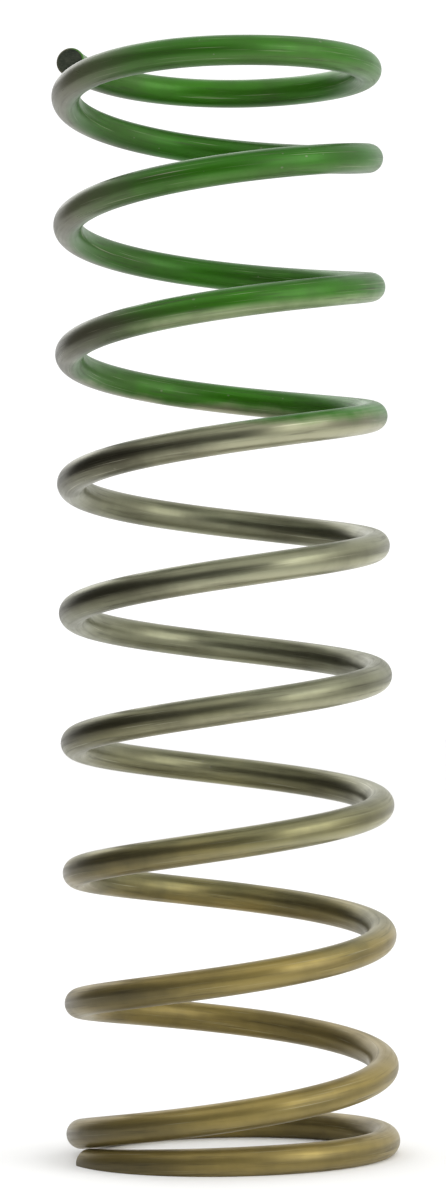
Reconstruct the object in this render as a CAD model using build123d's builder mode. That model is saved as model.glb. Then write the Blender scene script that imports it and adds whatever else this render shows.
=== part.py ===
from build123d import *
import math
import os

# A compression coil spring wound from one round wire, right-handed, standing on its ground lower end.
# Z runs up the spring's axis from the ground face. Lengths are millimetres, angles are degrees.
# A place along the wire is a "turn": whole turns are at the left (-X), +1/4 at the front (-Y),
# +1/2 at the right (+X) and +3/4 at the back (+Y).

WIRE = 10.0
COIL_RADIUS = 52.0
PITCH = 44.45

# The two tips lie just in front of and just behind the left side.
LOWER_TIP = 0.06
UPPER_TIP = 9.965
TIP_HEIGHT = 0.45
TIP_CHAMFER = 0.6
TIP_TAPER = 45

# Rise per turn at each turn: dipped tip, level end coil, lift-off, working coils, then the closed
# upper coil, whose tip flares up.
CLOSED_PITCH = 6.9
RISE = [
    (LOWER_TIP, 30.0),
    (0.335, 0.0),
    (0.84, 0.0),
    (1.0, PITCH),
    (9.0, PITCH),
    (9.25, CLOSED_PITCH),
    (9.7, CLOSED_PITCH),
    (UPPER_TIP, 34.0),
]

# The working coils are cut into sixths of a turn. The end coils keep the sixth that lies on a tip.
SIXTHS = ["front_left", "front", "front_right", "back_right", "back", "back_left"]
PIECES_PER_TURN = len(SIXTHS)
FIRST_CUT = 1 + 1 / PIECES_PER_TURN
LAST_CUT = 9 - 1 / PIECES_PER_TURN
PIECES = round((LAST_CUT - FIRST_CUT) * PIECES_PER_TURN)

# Neighbours slide past each other along upright cuts, with this much wire taken off each side.
CUT_GAP = 0.05
OVERLENGTH = 0.012
ARCS_PER_TURN = 18


def height(turn):
    """Height of the wire's centre, from the rise law."""
    z = TIP_HEIGHT
    for (start, low), (end, high) in zip(RISE, RISE[1:]):
        if turn <= start:
            break
        run = min(turn, end) - start
        slope = (high - low) / (end - start)
        z += low * run + slope * run * run / 2
    return z


def rise_at(turn):
    """Rise per turn at one place along the wire."""
    for (start, low), (end, high) in zip(RISE, RISE[1:]):
        if turn <= end:
            return low + (high - low) * (turn - start) / (end - start)
    return RISE[-1][1]


def angle_at(turn):
    return 360 * (turn - 0.5)


def centre(turn):
    angle = math.radians(angle_at(turn))
    return Vector(COIL_RADIUS * math.cos(angle), COIL_RADIUS * math.sin(angle), height(turn))


def direction(turn):
    angle = math.radians(angle_at(turn))
    around = 2 * math.pi * COIL_RADIUS
    return Vector(-around * math.sin(angle), around * math.cos(angle), rise_at(turn)).normalized()


def wire(start, end):
    """One length of round wire along the coil, a chain of tangent arcs."""
    steps = max(4, math.ceil((end - start) * ARCS_PER_TURN))
    turns = [start + (end - start) * i / steps for i in range(steps + 1)]
    with BuildPart() as piece:
        with BuildLine():
            arc = TangentArc(centre(start), centre(turns[1]), tangent=direction(start))
            for turn in turns[2:]:
                arc = TangentArc(arc @ 1, centre(turn), tangent=arc % 1)
        with BuildSketch(Plane(origin=centre(start), z_dir=direction(start))):
            Circle(WIRE / 2)
        sweep()
    return piece.part


def upright_cut(turn, shift):
    """The upright plane across the wire at a cut, moved along the wire, facing the way it winds."""
    angle = math.radians(angle_at(turn))
    along = Vector(-math.sin(angle), math.cos(angle), 0)
    return Plane(origin=centre(turn) + along * shift, z_dir=along)


def tip_plane(wire_part, turn):
    """The plane of the wire's square-cut end, facing out of the wire."""
    return Plane(wire_part.faces().filter_by(GeomType.PLANE).sort_by_distance(centre(turn))[0])


# Lower end coil: closed, then ground flat below the seat plane, so that the tip tapers.
lower_wire = wire(LOWER_TIP, FIRST_CUT + OVERLENGTH)
with BuildPart() as lower_end_coil:
    add(lower_wire)
    with BuildSketch(tip_plane(lower_wire, LOWER_TIP)):
        Circle(WIRE / 2)
    extrude(amount=TIP_CHAMFER, taper=TIP_TAPER)
    split(bisect_by=Plane.XY, keep=Keep.TOP)
    with BuildSketch(upright_cut(FIRST_CUT, -CUT_GAP)):
        Circle(WIRE)
    extrude(amount=WIRE, mode=Mode.SUBTRACT)

# Upper end coil: closed but not ground, with a square-cut, deburred tip.
upper_wire = wire(LAST_CUT - OVERLENGTH, UPPER_TIP)
with BuildPart() as upper_end_coil:
    add(upper_wire)
    with BuildSketch(tip_plane(upper_wire, UPPER_TIP)):
        Circle(WIRE / 2)
    extrude(amount=TIP_CHAMFER, taper=TIP_TAPER)
    with BuildSketch(upright_cut(LAST_CUT, CUT_GAP)):
        Circle(WIRE)
    extrude(amount=-WIRE, mode=Mode.SUBTRACT)

pieces = {"lower_end_coil": lower_end_coil.part, "upper_end_coil": upper_end_coil.part}

# Working coils, numbered from the bottom: sixth turns of wire with upright ends.
for index in range(PIECES):
    start = FIRST_CUT + index / PIECES_PER_TURN
    end = start + 1 / PIECES_PER_TURN
    with BuildPart() as sixth_turn:
        add(wire(start - OVERLENGTH, end + OVERLENGTH))
        split(bisect_by=upright_cut(start, CUT_GAP), keep=Keep.TOP)
        split(bisect_by=upright_cut(end, -CUT_GAP), keep=Keep.BOTTOM)
    coil, sixth = divmod(index + 1, PIECES_PER_TURN)
    pieces[f"coil_{coil + 1}_{SIXTHS[sixth]}"] = sixth_turn.part

os.makedirs("parts", exist_ok=True)
for name, part in pieces.items():
    part.label = name
    export_step(part, f"parts/{name}.step")
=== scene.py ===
import math

import bmesh
import bpy
from mathutils import Matrix, Vector
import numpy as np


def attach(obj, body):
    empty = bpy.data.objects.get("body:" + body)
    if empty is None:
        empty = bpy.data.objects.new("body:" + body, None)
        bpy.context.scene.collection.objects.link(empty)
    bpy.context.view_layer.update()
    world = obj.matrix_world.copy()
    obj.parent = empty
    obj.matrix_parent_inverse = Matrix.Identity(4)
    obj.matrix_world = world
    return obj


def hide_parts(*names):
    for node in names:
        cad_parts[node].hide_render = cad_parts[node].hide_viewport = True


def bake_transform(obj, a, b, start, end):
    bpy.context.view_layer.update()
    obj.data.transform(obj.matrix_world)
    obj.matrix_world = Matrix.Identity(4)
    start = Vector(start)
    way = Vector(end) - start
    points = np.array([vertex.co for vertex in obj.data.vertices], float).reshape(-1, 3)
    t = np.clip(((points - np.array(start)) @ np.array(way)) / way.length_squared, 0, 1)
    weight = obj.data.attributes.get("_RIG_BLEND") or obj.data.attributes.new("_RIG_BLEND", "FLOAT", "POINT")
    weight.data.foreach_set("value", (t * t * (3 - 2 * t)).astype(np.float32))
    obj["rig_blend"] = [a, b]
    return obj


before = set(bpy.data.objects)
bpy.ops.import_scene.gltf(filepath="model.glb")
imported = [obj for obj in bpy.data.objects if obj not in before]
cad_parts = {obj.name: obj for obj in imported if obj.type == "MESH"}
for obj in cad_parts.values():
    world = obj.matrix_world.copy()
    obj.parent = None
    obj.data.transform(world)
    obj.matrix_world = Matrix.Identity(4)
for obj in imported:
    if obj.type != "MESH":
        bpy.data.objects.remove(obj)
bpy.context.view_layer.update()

# A coil spring wound from one round wire, green at the top, olive grey in the middle and khaki gold
# at the bottom. Lengths are metres. A place along the wire is a "turn": whole turns are at the left
# (-X), +1/4 at the front (-Y), +1/2 at the right (+X) and +3/4 at the back (+Y).

WIRE_RADIUS = 0.005
COIL_RADIUS = 0.052
TURN_LENGTH = 2 * math.pi * COIL_RADIUS
PITCH = 0.04445
CLOSED_PITCH = 0.0069
LOWER_TIP = 0.06
UPPER_TIP = 9.965
TIP_HEIGHT = 0.00045
TIP_CHAMFER = 0.0006

# Rise per turn at each turn: dipped tip, level end coil, lift-off, working coils, then the closed
# upper coil, whose tip flares up.
RISE = [
    (LOWER_TIP, 0.03),
    (0.335, 0.0),
    (0.84, 0.0),
    (1.0, PITCH),
    (9.0, PITCH),
    (9.25, CLOSED_PITCH),
    (9.7, CLOSED_PITCH),
    (UPPER_TIP, 0.034),
]

# The working coils are made in sixths of a turn, numbered from the bottom.
SIXTHS = ["front_left", "front", "front_right", "back_right", "back", "back_left"]
FIRST_CUT = 1 + 1 / 6
LAST_CUT = 9 - 1 / 6
PIECES = 46

RING_POINTS = 48
RINGS_PER_TURN = 144
BEVEL_RINGS = 4


# ---------------------------------------------------------------- the wire's path

def height(turn):
    z = TIP_HEIGHT
    for (start, low), (end, high) in zip(RISE, RISE[1:]):
        if turn <= start:
            break
        run = min(turn, end) - start
        z += low * run + (high - low) / (end - start) * run * run / 2
    return z


def rise_at(turn):
    for (start, low), (end, high) in zip(RISE, RISE[1:]):
        if turn <= end:
            return low + (high - low) * (turn - start) / (end - start)
    return RISE[-1][1]


def angle_at(turn):
    return 2 * math.pi * (turn - 0.5)


def outward(turn):
    return Vector((math.cos(angle_at(turn)), math.sin(angle_at(turn)), 0))


def centre(turn):
    return outward(turn) * COIL_RADIUS + Vector((0, 0, height(turn)))


def direction(turn):
    a = angle_at(turn)
    return Vector((-TURN_LENGTH * math.sin(a), TURN_LENGTH * math.cos(a), rise_at(turn))).normalized()


# ---------------------------------------------------------------- tube pieces

def new_object(name, mesh):
    made = bpy.data.objects.new(name, mesh)
    bpy.context.scene.collection.objects.link(made)
    return made


def ring_stations(start, end):
    """Rings from start to end as (turn, shift along the wire, radius, lean of the surface)."""
    count = max(2, round((end - start) * RINGS_PER_TURN))
    stations = [(start + (end - start) * i / count, 0.0, WIRE_RADIUS, 0.0) for i in range(count + 1)]
    bevel = []
    for step in range(1, BEVEL_RINGS + 1):
        lean = math.radians(90) * step / BEVEL_RINGS
        shift = TIP_CHAMFER * math.sin(lean)
        radius = WIRE_RADIUS - TIP_CHAMFER * (1 - math.cos(lean))
        bevel.append((shift, radius, lean))
    if start == LOWER_TIP:
        stations = [(start, -s, r, -lean) for s, r, lean in reversed(bevel)] + stations
    if end == UPPER_TIP:
        stations += [(end, s, r, lean) for s, r, lean in bevel]
    return stations


def tube_rings(bm, start, end, place, lean_layer):
    rings = []
    for turn, shift, radius, lean in ring_stations(start, end):
        out, along = outward(turn), direction(turn)
        up = out.cross(along)
        ring = []
        for i in range(RING_POINTS):
            a = 2 * math.pi * i / RING_POINTS
            section = out * math.cos(a) + up * math.sin(a)
            vert = bm.verts.new(centre(turn) + along * shift + section * radius)
            vert[place] = Vector((
                radius * math.cos(a), radius * math.sin(a), turn * TURN_LENGTH + shift))
            vert[lean_layer] = lean
            ring.append(vert)
        rings.append(ring)
    return rings


def grind_flat(bm):
    """Cuts the tube off at the floor and closes it with the ground face."""
    everything = list(bm.verts) + list(bm.edges) + list(bm.faces)
    cut = bmesh.ops.bisect_plane(
        bm, geom=everything, dist=1e-7, plane_co=(0, 0, 0), plane_no=(0, 0, -1), clear_outer=True)
    rim = [e for e in cut["geom_cut"] if isinstance(e, bmesh.types.BMEdge)]
    for face in bmesh.ops.holes_fill(bm, edges=rim, sides=0)["faces"]:
        face.smooth = False
        face.material_index = 2


def exact_normals(bm, start, end, place, lean_layer):
    """One normal for each face corner: the true wire's on smooth faces, the face's own on flat ones."""
    bm.normal_update()
    normals = []
    for face in bm.faces:
        for loop in face.loops:
            if not face.smooth:
                normals.append(face.normal.copy())
                continue
            x, y, length = loop.vert[place]
            lean = loop.vert[lean_layer]
            turn = min(max(length / TURN_LENGTH, start), end)
            out, along = outward(turn), direction(turn)
            section = (out * x + out.cross(along) * y).normalized()
            normals.append(section * math.cos(lean) + along * math.sin(lean))
    return normals


def tube(name, start, end):
    """A closed length of wire, with its own place along and round the wire stored at each point."""
    bm = bmesh.new()
    place = bm.verts.layers.float_vector.new("wire_place")
    lean_layer = bm.verts.layers.float.new("lean")
    rings = tube_rings(bm, start, end, place, lean_layer)
    for low, high in zip(rings, rings[1:]):
        for i in range(RING_POINTS):
            j = (i + 1) % RING_POINTS
            face = bm.faces.new((low[i], high[i], high[j], low[j]))
            face.smooth = True
    first = bm.faces.new(rings[0])
    last = bm.faces.new(list(reversed(rings[-1])))
    # Where two lengths meet, the small step that a squeeze opens is shaded like the wire's side.
    first.smooth = start != LOWER_TIP
    last.smooth = end != UPPER_TIP
    if start == LOWER_TIP:
        first.material_index = 1
        grind_flat(bm)
    if end == UPPER_TIP:
        last.material_index = 1
    normals = exact_normals(bm, start, end, place, lean_layer)
    bm.verts.layers.float.remove(lean_layer)
    mesh = bpy.data.meshes.new(name)
    bm.to_mesh(mesh)
    bm.free()
    mesh.normals_split_custom_set(normals)
    return new_object(name, mesh)


def inverse_smoothstep(w):
    return 0.5 - math.sin(math.asin(1 - 2 * w) / 3)


def squeeze_with_the_spring(piece, start, end):
    """Lets one length of wire drop evenly between its two ends as the spring shortens."""
    share = [(turn - FIRST_CUT) / (LAST_CUT - FIRST_CUT) for turn in (start, end)]
    low, high = (inverse_smoothstep(min(max(s, 0.0), 1.0)) for s in share)
    chord = centre(end) - centre(start)
    chord.z = 0
    origin = centre(start) - chord * low / (high - low)
    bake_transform(piece, "lower_end", "upper_end", start=origin, end=origin + chord / (high - low))


# ---------------------------------------------------------------- materials

class Graph:
    """Short ways to make and join shader nodes."""

    def __init__(self, name):
        self.material = bpy.data.materials.new(name)
        self.material.use_nodes = True
        self.tree = self.material.node_tree
        self.tree.nodes.clear()
        self.output = self.tree.nodes.new("ShaderNodeOutputMaterial")
        self.shader = self.tree.nodes.new("ShaderNodeBsdfPrincipled")
        self.tree.links.new(self.shader.outputs[0], self.output.inputs[0])

    def put(self, socket, value):
        if isinstance(value, bpy.types.NodeSocket):
            self.tree.links.new(value, socket)
        else:
            socket.default_value = value

    def set(self, **values):
        for name, value in values.items():
            self.put(self.shader.inputs[name.replace("_", " ")], value)

    def math(self, operation, a, b=0.0):
        node = self.tree.nodes.new("ShaderNodeMath")
        node.operation = operation
        self.put(node.inputs[0], a)
        self.put(node.inputs[1], b)
        return node.outputs[0]

    def plus(self, total, *others):
        for other in others:
            total = self.math("ADD", total, other)
        return total

    def times(self, product, *others):
        for other in others:
            product = self.math("MULTIPLY", product, other)
        return product

    def swing(self, noise, amount):
        """A noise value as a push either way, instead of 0 to 1."""
        return self.times(self.math("SUBTRACT", noise, 0.5), amount)

    def scale(self, vector, factors):
        node = self.tree.nodes.new("ShaderNodeVectorMath")
        node.operation = "MULTIPLY"
        self.put(node.inputs[0], vector)
        self.put(node.inputs[1], factors)
        return node.outputs[0]

    def split(self, vector):
        node = self.tree.nodes.new("ShaderNodeSeparateXYZ")
        self.put(node.inputs[0], vector)
        return node.outputs[0], node.outputs[1], node.outputs[2]

    def noise(self, vector, scale, detail=3.0, roughness=0.5):
        node = self.tree.nodes.new("ShaderNodeTexNoise")
        self.put(node.inputs["Vector"], vector)
        self.put(node.inputs["Scale"], scale)
        self.put(node.inputs["Detail"], detail)
        self.put(node.inputs["Roughness"], roughness)
        return node.outputs[0]

    def voronoi(self, vector, scale):
        node = self.tree.nodes.new("ShaderNodeTexVoronoi")
        self.put(node.inputs["Vector"], vector)
        self.put(node.inputs["Scale"], scale)
        return node.outputs["Distance"]

    def fade(self, value, low, high, to_low=0.0, to_high=1.0):
        """A smooth change from to_low, where value is low, to to_high, where it is high."""
        node = self.tree.nodes.new("ShaderNodeMapRange")
        node.interpolation_type = "SMOOTHSTEP"
        for socket, number in zip(node.inputs[:5], (value, low, high, to_low, to_high)):
            self.put(socket, number)
        return node.outputs[0]

    def ramp(self, value, stops):
        node = self.tree.nodes.new("ShaderNodeValToRGB")
        elements = node.color_ramp.elements
        while len(elements) < len(stops):
            elements.new(0.5)
        for element, (position, colour) in zip(elements, stops):
            element.position = position
            element.color = (*colour, 1)
        self.put(node.inputs[0], value)
        return node.outputs[0]

    def mix(self, amount, a, b):
        node = self.tree.nodes.new("ShaderNodeMix")
        node.data_type = "RGBA"
        self.put(node.inputs[0], amount)
        self.put(node.inputs[6], a if isinstance(a, bpy.types.NodeSocket) else (*a, 1))
        self.put(node.inputs[7], b if isinstance(b, bpy.types.NodeSocket) else (*b, 1))
        return node.outputs[2]

    def bump(self, height_value, distance, strength):
        node = self.tree.nodes.new("ShaderNodeBump")
        self.put(node.inputs["Distance"], distance)
        self.put(node.inputs["Strength"], strength)
        self.put(node.inputs["Height"], height_value)
        return node.outputs[0]

    def wire_place(self):
        """(outward, up, along) place on the wire, in metres: it goes with the wire when it moves."""
        node = self.tree.nodes.new("ShaderNodeAttribute")
        node.attribute_name = "wire_place"
        return node.outputs["Vector"]

    def object_place(self):
        return self.tree.nodes.new("ShaderNodeTexCoord").outputs["Object"]


def srgb(red, green, blue):
    """Screen colour, 0 to 255, as the linear colour that materials take."""
    return tuple((c / 255 / 12.92) if c < 11 else ((c / 255 + 0.055) / 1.055) ** 2.4
                 for c in (red, green, blue))


GOLD_DARK = srgb(136, 120, 68)
GOLD = srgb(140, 124, 70)
OLIVE = srgb(128, 124, 86)
OLIVE_GREY = srgb(134, 135, 110)
GREEN = srgb(48, 108, 8)
GREEN_DEEP = srgb(38, 94, 6)
BARE = srgb(104, 102, 86)
# Painted shade, used on the left bends, inside the right bends and in a line along the right.
PAINTED_SHADE = srgb(58, 54, 42)
# A painted highlight, used on the outer underside.
PAINTED_HIGHLIGHT = srgb(205, 202, 172)
DARK = srgb(48, 44, 34)
SCRATCH = srgb(190, 188, 165)
CHIP = srgb(120, 118, 104)

# Colours along the wire, at tenths of the number of turns from the bottom.
BANDS = [
    (0.0, GOLD_DARK),
    (0.09, GOLD),
    (0.255, GOLD),
    (0.325, OLIVE),
    (0.46, OLIVE_GREY),
    (0.642, OLIVE_GREY),
    (0.68, GREEN),
    (0.86, GREEN_DEEP),
    (1.0, GREEN),
]
RIGHT_OUTSIDE = 0.43
RIGHT_INSIDE = 0.6


def wire_finish():
    g = Graph("wire_finish")
    place = g.wire_place()
    out, up, along = g.split(place)
    turn = g.math("DIVIDE", along, TURN_LENGTH)
    cloud = g.noise(place, 38.0, 4.0, 0.6)
    streak = g.noise(g.scale(place, (1.0, 1.0, 0.045)), 900.0, 3.0, 0.6)
    outer = g.fade(out, -0.004, 0.003)

    def facing(side):
        """1 where the coil passes this part of a turn, -1 at the opposite side."""
        return g.math("COSINE", g.times(g.math("SUBTRACT", turn, side), 2 * math.pi))

    left = g.plus(facing(0.0), g.swing(cloud, 0.45))

    # The three colours run into each other over about a turn, with a broken edge. Each one comes
    # in first on the wire's upper and inner side, and on the right bends.
    band = g.plus(
        turn,
        g.swing(cloud, 0.9),
        g.swing(streak, 0.25),
        g.times(up, 65.0),
        g.times(out, -40.0),
        g.times(g.fade(facing(RIGHT_OUTSIDE), 0.3, 0.9), 0.35))
    colour = g.ramp(g.times(band, 0.1), BANDS)

    # The green is rubbed thin on the left bends, where grey metal shows through.
    rubbed = g.times(g.fade(left, 0.3, 1.0), g.fade(turn, 5.2, 6.8), g.fade(outer, 0.0, 1.0, 0.15, 0.95))
    colour = g.mix(rubbed, colour, BARE)

    # Painted shade: a dark brown colour darkens the outside of the left bends and the inside of the right
    # ones.
    painted_left_shade = g.times(
        g.fade(left, -0.15, 0.7),
        g.fade(up, -0.0045, -0.001, 0.3, 0.75),
        g.fade(up, 0.0, 0.0035, 1.0, 0.3),
        g.fade(band, 6.8, 7.8, 1.0, 0.5),
        g.fade(outer, 0.0, 1.0, 0.2, 1.0))
    colour = g.mix(painted_left_shade, colour, PAINTED_SHADE)
    # Painted shade inside the right bends, weaker once the green begins.
    painted_right_inner_shade = g.times(
        g.fade(facing(RIGHT_INSIDE), 0.55, 0.95),
        g.fade(outer, 0.6, 0.0),
        g.fade(band, 6.3, 7.0, 0.42, 0.12))
    colour = g.mix(painted_right_inner_shade, colour, PAINTED_SHADE)

    # Painted shade: a thin dark line runs along the outside at the right. Painted highlight: the outer
    # underside is lighter.
    # Painted shade along the outer right side, where the reflection darkens.
    line = g.times(
        g.fade(g.math("ABSOLUTE", up), 0.0022, 0.0003),
        g.fade(facing(RIGHT_OUTSIDE), 0.3, 0.9),
        g.fade(band, 6.3, 7.0, 0.4, 0.1),
        outer)
    colour = g.mix(line, colour, PAINTED_SHADE)
    # Painted highlight on the outer underside, strongest on the middle coils and away from the left bends.
    lighter = g.times(
        g.fade(up, -0.0005, -0.0035, 0.0, 0.4),
        g.fade(left, 0.8, 0.0),
        g.fade(out, -0.002, 0.002),
        g.fade(band, 2.4, 3.6, 0.2, 1.0),
        g.fade(band, 6.9, 7.9, 1.0, 0.15))
    colour = g.mix(lighter, colour, PAINTED_HIGHLIGHT)

    # Cloudy tone, darker drawing lines and fine lighter scratches along the wire.
    colour = g.mix(g.fade(cloud, 0.35, 0.75, 0.0, 0.35), colour, DARK)
    colour = g.mix(g.fade(streak, 0.52, 0.8, 0.0, 0.55), colour, DARK)
    hair = g.noise(g.scale(place, (1.0, 1.0, 0.012)), 2600.0, 2.0, 0.5)
    colour = g.mix(g.fade(hair, 0.62, 0.78, 0.0, 0.35), colour, SCRATCH)

    # Small chips down to grey metal.
    cells = g.voronoi(g.scale(place, (1.0, 1.0, 0.7)), 330.0)
    chip_size = g.fade(g.noise(place, 60.0, 2.0), 0.52, 0.75, 0.0, 0.2)
    chipped = g.fade(g.math("SUBTRACT", chip_size, cells), 0.0, 0.05)
    colour = g.mix(g.times(chipped, 0.45), colour, CHIP)

    # Metallic lacquer that turns to satin paint where the green begins.
    metal = g.math("SUBTRACT", g.fade(band, 2.4, 3.4, 0.6, 0.9), g.fade(band, 6.3, 7.0, 0.0, 0.5))
    rough = g.plus(g.fade(cloud, 0.3, 0.7, 0.33, 0.43), g.swing(streak, 0.25), g.times(rubbed, -0.05))
    g.set(Base_Color=colour, Roughness=rough, Metallic=metal, Specular_IOR_Level=0.3)

    grain = g.noise(place, 3200.0, 3.0, 0.6)
    relief = g.plus(g.times(grain, 0.25), g.times(streak, 0.6))
    relief = g.math("SUBTRACT", relief, g.times(chipped, 0.8))
    g.set(Normal=g.bump(relief, 0.00005, 0.6))
    return g.material


def cut_end_finish():
    """The wire's sawn ends: dark steel, darker still as painted shade, mottled and scored by the saw."""
    g = Graph("cut_end")
    place = g.wire_place()
    saw = g.noise(g.scale(place, (0.12, 1.0, 1.0)), 4200.0, 3.0, 0.6)
    blotch = g.noise(place, 420.0, 4.0, 0.6)
    # Partly the steel's own dark colour, partly painted shade.
    colour = g.mix(g.fade(blotch, 0.35, 0.65), srgb(34, 44, 30), srgb(52, 58, 44))
    colour = g.mix(g.fade(saw, 0.5, 0.75, 0.0, 0.6), colour, srgb(88, 88, 76))
    g.set(Base_Color=colour, Roughness=g.fade(blotch, 0.3, 0.7, 0.4, 0.62), Metallic=0.4)
    g.set(Normal=g.bump(saw, 0.00008, 0.8))
    return g.material


def ground_finish():
    """The ground seat face: bright steel with fine grinding lines and a thin brown film."""
    g = Graph("ground_face")
    place = g.object_place()
    lines = g.noise(g.scale(place, (1.0, 0.03, 1.0)), 5200.0, 3.0, 0.65)
    film = g.noise(place, 70.0, 5.0, 0.6)
    colour = g.mix(g.fade(lines, 0.3, 0.7), srgb(132, 128, 118), srgb(178, 175, 166))
    colour = g.mix(g.fade(film, 0.5, 0.72, 0.0, 0.7), colour, srgb(104, 88, 58))
    g.set(Base_Color=colour, Roughness=g.fade(film, 0.3, 0.7, 0.28, 0.5), Metallic=0.85)
    g.set(Normal=g.bump(lines, 0.00005, 0.8))
    return g.material


# ---------------------------------------------------------------- the spring

# A tube's material index is its place in this list.
MATERIALS = [wire_finish(), cut_end_finish(), ground_finish()]


def finished(node, start, end):
    piece = tube(node + "_tube", start, end)
    for material in MATERIALS:
        piece.data.materials.append(material)
    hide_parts(node)
    return piece


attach(finished("lower_end_coil", LOWER_TIP, FIRST_CUT), "lower_end")
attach(finished("upper_end_coil", LAST_CUT, UPPER_TIP), "upper_end")
for index in range(PIECES):
    coil, sixth = divmod(index + 1, 6)
    start = FIRST_CUT + index / 6
    piece = finished(f"coil_{coil + 1}_{SIXTHS[sixth]}", start, start + 1 / 6)
    squeeze_with_the_spring(piece, start, start + 1 / 6)


# ---------------------------------------------------------------- floor, light and camera

FLOOR_RADIUS = 14.0
WORLD_STRENGTH = 1.12
LIGHTS_AIM = Vector((0, 0, 0.19))

CAMERA_DISTANCE = 1.2207
CAMERA_HEIGHT = 0.1542
LENS = 106.65
TILT_UP = math.radians(1.680)
TURN_LEFT = math.radians(0.055)
ROLL = math.radians(0.917)


def floor():
    bm = bmesh.new()
    bmesh.ops.create_circle(bm, cap_ends=True, segments=128, radius=FLOOR_RADIUS)
    mesh = bpy.data.meshes.new("floor")
    bm.to_mesh(mesh)
    bm.free()
    g = Graph("floor_paper")
    tone = g.fade(g.noise(g.object_place(), 3.0), 0.3, 0.7)
    g.set(Base_Color=g.mix(tone, (0.9, 0.9, 0.895), (0.92, 0.92, 0.915)), Roughness=0.9)
    mesh.materials.append(g.material)
    new_object("floor", mesh)


def area_light(name, position, size, power):
    light = bpy.data.lights.new(name, "AREA")
    light.size = size
    light.energy = power
    lamp = new_object(name, light)
    lamp.location = position
    lamp.rotation_euler = (LIGHTS_AIM - Vector(position)).to_track_quat("-Z", "Y").to_euler()


def flag(name, position, width, tall, turned):
    """A dark upright card that only reflections see: it gives the wire its darker side."""
    bm = bmesh.new()
    bmesh.ops.create_grid(bm, x_segments=1, y_segments=1, size=0.5)
    mesh = bpy.data.meshes.new(name)
    bm.to_mesh(mesh)
    bm.free()
    g = Graph(name)
    g.set(Base_Color=(0.02, 0.02, 0.02, 1), Roughness=1.0, Specular_IOR_Level=0.0)
    mesh.materials.append(g.material)
    card = new_object(name, mesh)
    card.location = position
    card.scale = (width, tall, 1)
    card.rotation_euler = (math.radians(90), 0, math.radians(turned))
    card.visible_camera = False
    card.visible_diffuse = False
    card.visible_shadow = False
    card.visible_transmission = False


def studio():
    world = bpy.data.worlds.new("studio")
    world.use_nodes = True
    background = world.node_tree.nodes["Background"]
    background.inputs["Color"].default_value = (1.0, 1.0, 1.0, 1)
    background.inputs["Strength"].default_value = WORLD_STRENGTH
    bpy.context.scene.world = world
    area_light("key", (1.7, -1.3, 0.8), size=1.8, power=27.0)
    area_light("back", (-0.6, 1.6, 1.4), size=1.2, power=6.0)
    flag("flag_front", (-0.1, -0.8, 0.42), width=1.3, tall=0.82, turned=0)
    flag("flag_left", (-0.75, -0.1, 0.45), width=1.5, tall=0.88, turned=90)


def camera():
    data = bpy.data.cameras.new("camera")
    data.lens = LENS
    data.clip_start = 0.05
    data.clip_end = 100
    up = Vector((math.sin(ROLL), 0, math.cos(ROLL)))
    right = Vector((math.cos(ROLL), 0, -math.sin(ROLL)))
    forward = (Vector((0, 1, 0)) - right * math.tan(TURN_LEFT) + up * math.tan(TILT_UP)).normalized()
    right = forward.cross(up).normalized()
    up = right.cross(forward)
    basis = Matrix((right, up, -forward)).transposed()
    eye = new_object("camera", data)
    eye.matrix_world = Matrix.Translation((0, -CAMERA_DISTANCE, CAMERA_HEIGHT)) @ basis.to_4x4()
    bpy.context.scene.camera = eye


floor()
studio()
camera()
bpy.context.scene.view_settings.view_transform = "Standard"
